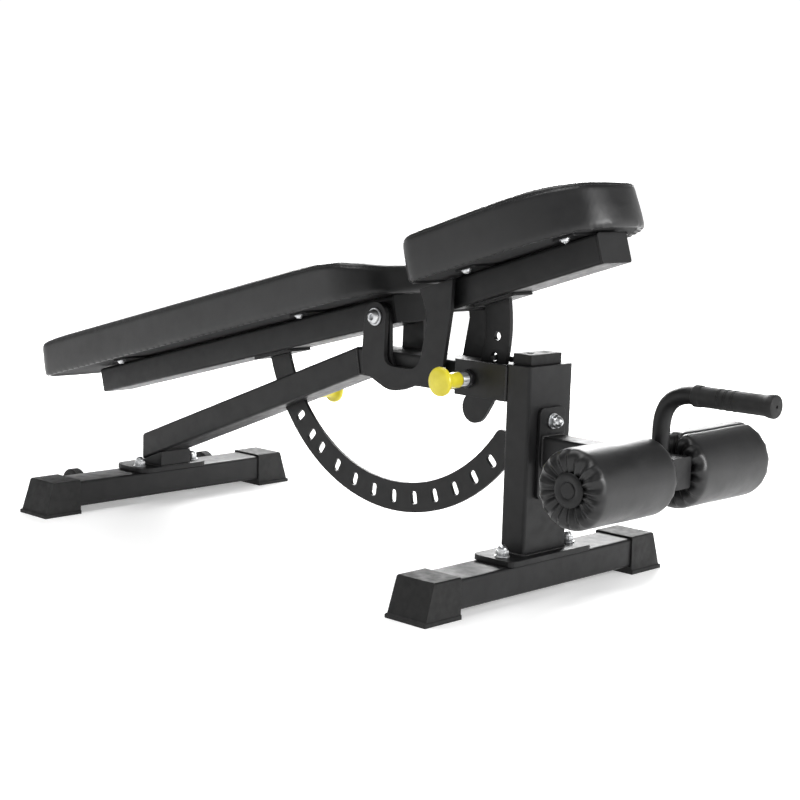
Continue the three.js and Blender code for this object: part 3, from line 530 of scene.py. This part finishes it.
# ---- Wheels, handle and leg rollers ---------------------------------------------------------------
def transport_wheels():
    for side, s in SIDES:
        node = f"transport_wheel_{side}"
        low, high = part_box(node)
        origin = (low + high) / 2
        half = (high.y - low.y) / 2
        radius = (high.z - low.z) / 2
        tread = [(radius, half * (2 * i / 8 - 1) * 0.72) for i in range(9)]
        grooved = [(r - (0.9 * MM if i % 2 else 0), y) for i, (r, y) in enumerate(tread)]
        side_in = [(5.4 * MM, -half), (10 * MM, -half), (11 * MM, -half + 2 * MM), (20 * MM, -half + 2.4 * MM),
                   (22 * MM, -half), (27 * MM, -half), (29 * MM, -half + 1.4 * MM)]
        side_out = [(r, -y) for r, y in reversed(side_in)]
        ring = side_in + grooved + side_out
        ring = [(0, -half + 3 * MM)] + ring + [(0, half - 3 * MM)]
        show(f"wheel_{side}", *turned(ring, origin, Y, 72),
             LOOKS["rubber"], body_of(node), "rubber", [node], sharp=40)
        node = f"wheel_bracket_{side}"
        nut = hexagon(13 * MM, 0, 6 * MM, origin + Y * s * (half + 2 * MM), Y * s)
        show(f"wheel_nut_{side}", *nut, LOOKS["zinc"], "frame", "zinc")


HANDLE_RADIUS = 14 * MM
HANDLE_BEND = 60 * MM
GRIP_RINGS = (47, 59, 72)


def handle():
    """Bent tube from the arm's top to the grip, and its moulded rubber grip."""
    low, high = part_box("handle_tube")
    radius = HANDLE_RADIUS
    corner = Vector((low.x + radius, 0, high.z - radius))
    rise, run = corner - Z * HANDLE_BEND, corner + X * HANDLE_BEND
    bend = [rise.lerp(corner, t).lerp(corner.lerp(run, t), t) for t in (i / 28 for i in range(29))]
    path = [Vector((corner.x, 0, low.z))] + bend + [Vector((high.x, 0, corner.z))]
    show("handle_tube_shown", *tube(path, radius, 48), LOOKS["powder_coat"], "frame", "powder_coat",
         ["handle_tube"], sharp=40)

    low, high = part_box("handle_grip")
    length = high.x - low.x
    origin = Vector((low.x, 0, (low.z + high.z) / 2))
    body, collar, flange = 15.9 * MM, 17 * MM, 18 * MM
    profile = [(0, 0), (collar - 0.7 * MM, 0), (collar, 0.8 * MM), (collar, 11 * MM),
               (collar - 0.5 * MM, 12.4 * MM), (body, 13 * MM)]
    groove, crest = body - 0.9 * MM, body + 0.5 * MM
    for at in GRIP_RINGS:
        ring = at * MM
        profile += [(body, ring - 2.2 * MM), (groove, ring - 1.6 * MM), (crest, ring - 0.6 * MM),
                    (crest, ring + 0.6 * MM), (groove, ring + 1.6 * MM), (body, ring + 2.2 * MM)]
    profile += [(body, length - 20 * MM), (crest, length - 16 * MM),
                (flange - 0.6 * MM, length - 12 * MM), (flange, length - 10 * MM),
                (flange, length - 3 * MM), (flange - 1 * MM, length - 1 * MM), (flange - 3 * MM, length), (2.6 * MM, length), (2.4 * MM, length - 3 * MM),
                (0, length - 3 * MM)]
    show("handle_grip_shown", *turned(profile, origin, X, 72), LOOKS["rubber"], "frame", "rubber",
         ["handle_grip"])


PLEATS = 17


def leg_rollers():
    """Foam rollers in sewn vinyl sleeves, gathered at both ends round a plastic disc."""
    for side, s in SIDES:
        node = f"roller_{side}"
        low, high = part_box(node)
        length = high.y - low.y
        radius = (high.z - low.z) / 2
        inner_y = low.y if s > 0 else high.y
        origin = Vector(((low.x + high.x) / 2, inner_y, (low.z + high.z) / 2))
        bore, rounding = 13 * MM, 17 * MM
        steps = 10
        flat = 14
        half = [(bore + (radius - rounding - bore) * i / flat,
                 5 * MM - 7 * MM * math.sin(math.pi / 2 * i / flat) ** 2) for i in range(flat + 1)]
        half += [(radius - rounding + rounding * math.sin(math.pi / 2 * i / steps),
                  -2 * MM + rounding * (1 - math.cos(math.pi / 2 * i / steps)))
                 for i in range(1, steps + 1)]
        straight = 26
        start = half[-1][1]
        middle = [(radius, start + (length - 2 * start) * i / straight) for i in range(1, straight)]
        other = [(r, length - d) for r, d in reversed(half)]
        profile = [(0, 6 * MM)] + half + middle + other + [(0, length - 6 * MM)]
        seam_angle = math.radians(250 if s < 0 else 104)

        def gathered(r, d, angle, radius=radius, length=length, seam_angle=seam_angle):
            end = min(d, length - d)
            phase = 1.3 if d < length / 2 else 0.4
            swing = 0.5 * math.sin(3 * angle + phase) + 0.35 * math.sin(7 * angle + 2 * phase)
            fold = math.sin(PLEATS * angle + swing + phase)
            near_end = max(0.0, 1 - end / (24 * MM))
            inward = max(0.0, min(1.0, (radius - r) / (16 * MM)))
            face = max(0.0, min(1.0, (r - 15 * MM) / (10 * MM)))
            depth = 0.5 * MM * near_end ** 2 + 2.6 * MM * inward * face
            wave = 0.35 * MM * math.sin(5 * angle + 30 * d) * math.sin(math.pi * d / length)
            turn = (angle - seam_angle + math.pi) % (2 * math.pi) - math.pi
            seam = -1.5 * MM * math.exp(-((turn * radius) / (2.2 * MM)) ** 2)
            away = 1 if d > length / 2 else -1
            sharpness = fold if fold < 0 else fold ** 2
            return r + (depth * 0.55 * sharpness + wave + seam) * min(1, r / radius + 0.1), \
                d + away * inward * face * (2.6 * MM * sharpness - 0.6 * MM)

        shape = turned(profile, origin, Y * s, 288, gathered)
        piece = show(f"{node}_cover", *shape, LOOKS["vinyl"], body_of(node), "vinyl", [node], sharp=180)

        cap_low, cap_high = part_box(f"roller_cap_{side}")
        outer = (cap_high.y if s > 0 else -cap_low.y) - s * origin.y - 3 * MM
        disc = [(0, outer - 9 * MM), (24 * MM, outer - 9 * MM), (26.6 * MM, outer - 5 * MM),
                (27 * MM, outer - 3.4 * MM),
                (25.6 * MM, outer - 1.6 * MM), (21 * MM, outer - 0.4 * MM), (15 * MM, outer - 1 * MM),
                (12.5 * MM, outer - 2.4 * MM), (11.5 * MM, outer - 0.6 * MM), (0, outer - 0.2 * MM)]
        show(f"roller_disc_{side}", *turned(disc, origin, Y * s, 72), LOOKS["black_plastic"],
             body_of(node), "black_plastic", [f"roller_cap_{side}"], sharp=40)


# ---- Pads -----------------------------------------------------------------------------------------
def eased(table, x):
    """Straight-line value at x between the (x, value) pairs of a table."""
    if x <= table[0][0]:
        return table[0][1]
    for (x0, v0), (x1, v1) in zip(table, table[1:]):
        if x <= x1:
            return v0 + (v1 - v0) * (x - x0) / (x1 - x0)
    return table[-1][1]


def arc_points(cx, cy, radius, start, end, count):
    angles = (math.radians(start + (end - start) * i / count) for i in range(count + 1))
    return [(cx + radius * math.cos(a), cy + radius * math.sin(a)) for a in angles]


def evenly(outline, count):
    """The closed outline resampled at even distances, from its first point."""
    ends = outline + outline[:1]
    lengths = [math.dist(a, b) for a, b in zip(ends, ends[1:])]
    total, points, edge, start = sum(lengths), [], 0, 0.0
    for i in range(count):
        target = total * i / count
        while start + lengths[edge] < target:
            start += lengths[edge]
            edge += 1
        t = (target - start) / lengths[edge]
        (x0, y0), (x1, y1) = ends[edge], ends[edge + 1]
        points.append((x0 + (x1 - x0) * t, y0 + (y1 - y0) * t))
    return points


def back_outline():
    x0, x1, half = -953, 45, 130
    head, hinge = 40, 80
    return (arc_points(x1 - hinge, half - hinge, hinge, 0, 90, 16)
            + arc_points(x0 + head, half - head, head, 90, 180, 10)
            + arc_points(x0 + head, head - half, head, 180, 270, 10)
            + arc_points(x1 - hinge, hinge - half, hinge, 270, 360, 16))


def bezier(a, b, c, d, count):
    """Points of a cubic curve, without its first."""
    points = []
    for t in (i / count for i in range(1, count + 1)):
        u = 1 - t
        weights = (u ** 3, 3 * u * u * t, 3 * u * t * t, t ** 3)
        points.append(tuple(sum(w * p for w, p in zip(weights, axis)) for axis in zip(a, b, c, d)))
    return points


def seat_outline():
    x0, x1, half, heel, straight = 138, 524, 130, 38, 250
    nose = [(x1, 0)] + bezier((x1, 0), (x1, 117), (straight + 180, half), (straight, half), 40)
    side = [(straight + (x0 + heel - straight) * i / 6, half) for i in range(1, 6)]
    upper = nose + side + arc_points(x0 + heel, half - heel, heel, 90, 180, 10)
    return upper + [(x, -y) for x, y in reversed(upper[1:])]


PADS = {
    "back": {
        "outline": back_outline, "matrix": BACK_MATRIX, "bottom": 33.3, "board": 37.6,
        "top": [(-953, 104), (-850, 106), (-130, 106.2), (-67, 105), (-10, 100.5), (26, 91), (45, 84)],
    },
    "seat": {
        "outline": seat_outline, "matrix": SEAT_MATRIX, "bottom": 25.3, "board": 29.6,
        "top": [(138, 97), (156, 101.5), (175, 103.5), (250, 104), (320, 105), (400, 105.5), (460, 105),
                (506, 103), (524, 100.5)],
    },
}


def inward(outline, inset):
    """The outline moved inwards along its own normals."""
    moved = []
    for i, (x, y) in enumerate(outline):
        (ax, ay), (bx, by) = outline[i - 1], outline[(i + 1) % len(outline)]
        tx, ty = bx - ax, by - ay
        size = math.hypot(tx, ty)
        moved.append((x - ty / size * inset, y + tx / size * inset))
    return moved


def pad_solid(pad):
    """Closed form of a pad before it swells: wrapped rim, upright sides and a rounded top edge."""
    outline = evenly(pad["outline"](), 360)
    bottom, board, top = pad["bottom"], pad["board"], pad["top"]
    rings = [
        (17, lambda x: board + 7), (12, lambda x: board + 7), (10.5, lambda x: bottom + 2.5),
        (8, lambda x: bottom + 0.6),
        (4.5, lambda x: bottom + 1), (1.8, lambda x: bottom + 4), (1, lambda x: bottom + 9),
        (0.8, lambda x: (bottom + eased(top, x)) / 2), (1, lambda x: eased(top, x) - 12),
        (1.3, lambda x: eased(top, x) - 8), (2.4, lambda x: eased(top, x) - 4.6),
        (4.6, lambda x: eased(top, x) - 2.2), (8.5, lambda x: eased(top, x) - 0.9),
        (14, lambda x: eased(top, x) - 0.3), (22, lambda x: eased(top, x)),
    ]
    vertices, faces = [], []
    count = len(outline)
    for inset, height in rings:
        vertices += [Vector((x, y, height(x))) * MM for x, y in inward(outline, inset)]
    for k in range(len(rings) - 1):
        for i in range(count):
            j = (i + 1) % count
            faces.append([k * count + i, k * count + j, (k + 1) * count + j, (k + 1) * count + i])
    last = (len(rings) - 1) * count
    for i in range(count // 2):
        low_a, low_b = i, i + 1
        high_a, high_b = (count - i) % count, count - i - 1
        faces.append(list(dict.fromkeys([high_a, high_b, low_b, low_a])))
        faces.append(list(dict.fromkeys([last + low_a, last + low_b, last + high_b, last + high_a])))
    faces = [face for face in faces if len(face) > 2]
    return [pad["matrix"] @ v for v in vertices], faces


def remeshed(piece, voxel):
    """Even quads over the piece's closed form."""
    modifier = piece.modifiers.new("even", "REMESH")
    modifier.mode = "VOXEL"
    modifier.voxel_size = voxel
    apply_modifiers(piece)


def apply_modifiers(piece):
    graph = bpy.context.evaluated_depsgraph_get()
    mesh = bpy.data.meshes.new_from_object(piece.evaluated_get(graph))
    old = piece.data
    piece.modifiers.clear()
    piece.data = mesh
    bpy.data.meshes.remove(old)


TAUT_ROUNDS = 140


def swell(piece, to_local, pinned_below, cap, frames=20):
    """Fills the cover by cloth simulation with inside pressure; the wrapped rim below is held."""
    held = piece.vertex_groups.new(name="held")
    rim = [v.index for v in piece.data.vertices if (to_local @ v.co).z < pinned_below]
    held.add(rim, 1.0, "REPLACE")
    cloth = piece.modifiers.new("fill", "CLOTH")
    cloth.settings.use_pressure = True
    cloth.settings.uniform_pressure_force = 4
    cloth.settings.effector_weights.gravity = 0
    cloth.settings.quality = 4
    cloth.settings.tension_stiffness = 40
    cloth.settings.vertex_group_mass = "held"
    cloth.point_cache.frame_start = 1
    cloth.point_cache.frame_end = frames
    for number in range(1, frames + 1):
        bpy.context.scene.frame_set(number)
    rest = coordinates(piece.data)
    filled = coordinates(piece.evaluated_get(bpy.context.evaluated_depsgraph_get()).data)
    piece.modifiers.clear()
    piece.vertex_groups.clear()
    moves = taut(piece.data, filled - rest, TAUT_ROUNDS)
    lengths = np.linalg.norm(moves, axis=1, keepdims=True)
    moves *= np.minimum(1, cap / np.maximum(lengths, 1e-9))
    piece.data.vertices.foreach_set("co", (rest + moves).ravel())
    piece.data.update()
    bpy.context.scene.frame_set(1)


def coordinates(mesh):
    flat = np.zeros(len(mesh.vertices) * 3)
    mesh.vertices.foreach_get("co", flat)
    return flat.reshape(-1, 3)


def taut(mesh, moves, rounds):
    """Averages each vertex's movement with its neighbours', since a tight cover has no creases."""
    ends = np.zeros(len(mesh.edges) * 2, int)
    mesh.edges.foreach_get("vertices", ends)
    a, b = ends.reshape(-1, 2).T
    count = np.bincount(ends, minlength=len(moves)).reshape(-1, 1)
    for _ in range(rounds):
        total = np.zeros_like(moves)
        for axis in range(3):
            total[:, axis] = (np.bincount(a, moves[b, axis], len(moves))
                              + np.bincount(b, moves[a, axis], len(moves)))
        moves = 0.5 * moves + 0.5 * total / count
    return moves


def smooth(piece, rounds):
    relax = piece.modifiers.new("relax", "SMOOTH")
    relax.iterations = rounds
    relax.factor = 0.5
    apply_modifiers(piece)


def seam_route(pad, drop, inset):
    outline = evenly(pad["outline"](), 420)
    return [pad["matrix"] @ (Vector((x, y, eased(pad["top"], x) - drop)) * MM)
            for x, y in inward(outline, inset)]


def press_seam(piece, route, width, depth):
    """Pulls the cover in along a sewn line."""
    mesh = piece.data
    places = [v.co.copy() for v in mesh.vertices]
    tree = BVHTree.FromPolygons(places, [tuple(p.vertices) for p in mesh.polygons])
    on_surface = [tree.find_nearest(point)[0] for point in route]
    near = KDTree(len(on_surface))
    for i, point in enumerate(on_surface):
        near.insert(point, i)
    near.balance()
    moves = []
    for vertex in mesh.vertices:
        distance = near.find(vertex.co)[2]
        if distance < width:
            moves.append((vertex, vertex.normal.copy() * -depth * (1 - (distance / width) ** 2) ** 2))
    for vertex, move in moves:
        vertex.co += move
    mesh.update()
    return on_surface


SEAM_DROP = 4


def make_pad(name):
    pad = PADS[name]
    matrix = pad["matrix"]
    to_local = matrix.inverted()
    piece = show(f"{name}_pad_cover", *pad_solid(pad), LOOKS["vinyl"], name, "vinyl",
                 [f"{name}_cushion"], sharp=180)
    remeshed(piece, 5 * MM)
    swell(piece, to_local, (pad["bottom"] + 9) * MM, 5 * MM)
    smooth(piece, 2)
    refine = piece.modifiers.new("refine", "SUBSURF")
    refine.levels = refine.render_levels = 1
    apply_modifiers(piece)
    route = seam_route(pad, SEAM_DROP, 2)
    line = press_seam(piece, route, 3.2 * MM, 1.5 * MM)
    piece.data.materials.clear()
    piece.data.materials.append(LOOKS["vinyl"])
    piece.data.polygons.foreach_set("use_smooth", [True] * len(piece.data.polygons))
    stitch(name, line + line[:1])
    return piece


def stitch(name, line):
    """One row of short threads just above the sewn line."""
    parts = []
    points = spaced(line, 1 * MM)
    centre = sum(points, Vector()) / len(points)
    for start in range(0, len(points) - 4, 6):
        run = [points[start + k] for k in range(0, 4)]
        out = (run[1] - centre)
        out.normalize()
        raised = [p + out * 0.25 * MM for p in run]
        parts.append(tube(raised, [0.25 * MM, 0.5 * MM, 0.5 * MM, 0.25 * MM], 6))
    show(f"{name}_pad_stitches", *merged(*parts), THREAD, name, "vinyl", sharp=180)


# ---- Stage, lights and camera ---------------------------------------------------------------------
def area_light(name, place, target, size, power, size_y=None):
    data = bpy.data.lights.new(name, "AREA")
    data.energy = power
    data.shape = "RECTANGLE"
    data.size = size
    data.size_y = size_y or size
    light = bpy.data.objects.new(name, data)
    light.location = place
    light.rotation_mode = "QUATERNION"
    light.rotation_quaternion = (Vector(target) - Vector(place)).to_track_quat("-Z", "Y")
    bpy.context.scene.collection.objects.link(light)


def stage():
    mesh = bpy.data.meshes.new("floor")
    half = 30
    corners = [(-half, -half, 0), (half, -half, 0), (half, half, 0), (-half, half, 0)]
    mesh.from_pydata(corners, [], [(0, 1, 2, 3)])
    mesh.materials.append(floor_paint_and_glow())
    floor = bpy.data.objects.new("floor", mesh)
    bpy.context.scene.collection.objects.link(floor)
    world = bpy.data.worlds.new("studio")
    bpy.context.scene.world = world
    world.use_nodes = True
    sky(world.node_tree)
    area_light("top", (-0.2, -0.5, 2.9), (0, 0, 0.4), 2.4, 46, 1.6)
    area_light("front", (3.4, 0.5, 1.5), (0.5, 0, 0.35), 1.2, 75, 1.0)
    area_light("rear", (-2.0, 2.2, 2.0), (0, 0, 0.4), 2.6, 170, 1.2)
    bpy.context.scene.view_settings.view_transform = "Standard"


def sky(tree):
    """White near the horizon, so that the floor has no edge, and dimmer above."""
    background = tree.nodes["Background"]
    place = tree.nodes.new("ShaderNodeTexCoord").outputs["Generated"]
    split = tree.nodes.new("ShaderNodeSeparateXYZ")
    tree.links.new(place, split.inputs["Vector"])
    band = tree.nodes.new("ShaderNodeMapRange")
    for socket, value in (("From Min", 0.12), ("From Max", 0.4), ("To Min", 1.05), ("To Max", 0.22)):
        band.inputs[socket].default_value = value
    tree.links.new(split.outputs["Z"], band.inputs["Value"])
    tree.links.new(band.outputs["Result"], background.inputs["Strength"])
    background.inputs["Color"].default_value = (1, 1, 1, 1)


CAMERA_PLACE = Vector((2.1540, -2.1346, 0.7146))
CAMERA_TARGET = Vector((0.0942, 0.0001, 0.2841))
CAMERA_ROLL = 1.64
CAMERA_LENS = 75.8


def camera():
    data = bpy.data.cameras.new("camera")
    data.lens = CAMERA_LENS
    data.sensor_width = 36
    eye = bpy.data.objects.new("camera", data)
    eye.location = CAMERA_PLACE
    eye.rotation_mode = "QUATERNION"
    aim = (CAMERA_TARGET - CAMERA_PLACE).to_track_quat("-Z", "Y")
    eye.rotation_quaternion = aim @ Quaternion((0, 0, 1), math.radians(CAMERA_ROLL))
    bpy.context.scene.collection.objects.link(eye)
    bpy.context.scene.camera = eye


camera()
stage()
make_pad("back")
make_pad("seat")
leg_rollers()
handle()
transport_wheels()
dome_nuts()
pivot_bolt()
pad_bolts()
bumper_screws()
pull_pin("seat_pin", -1)
pull_pin("back_pin", 1)
welds()
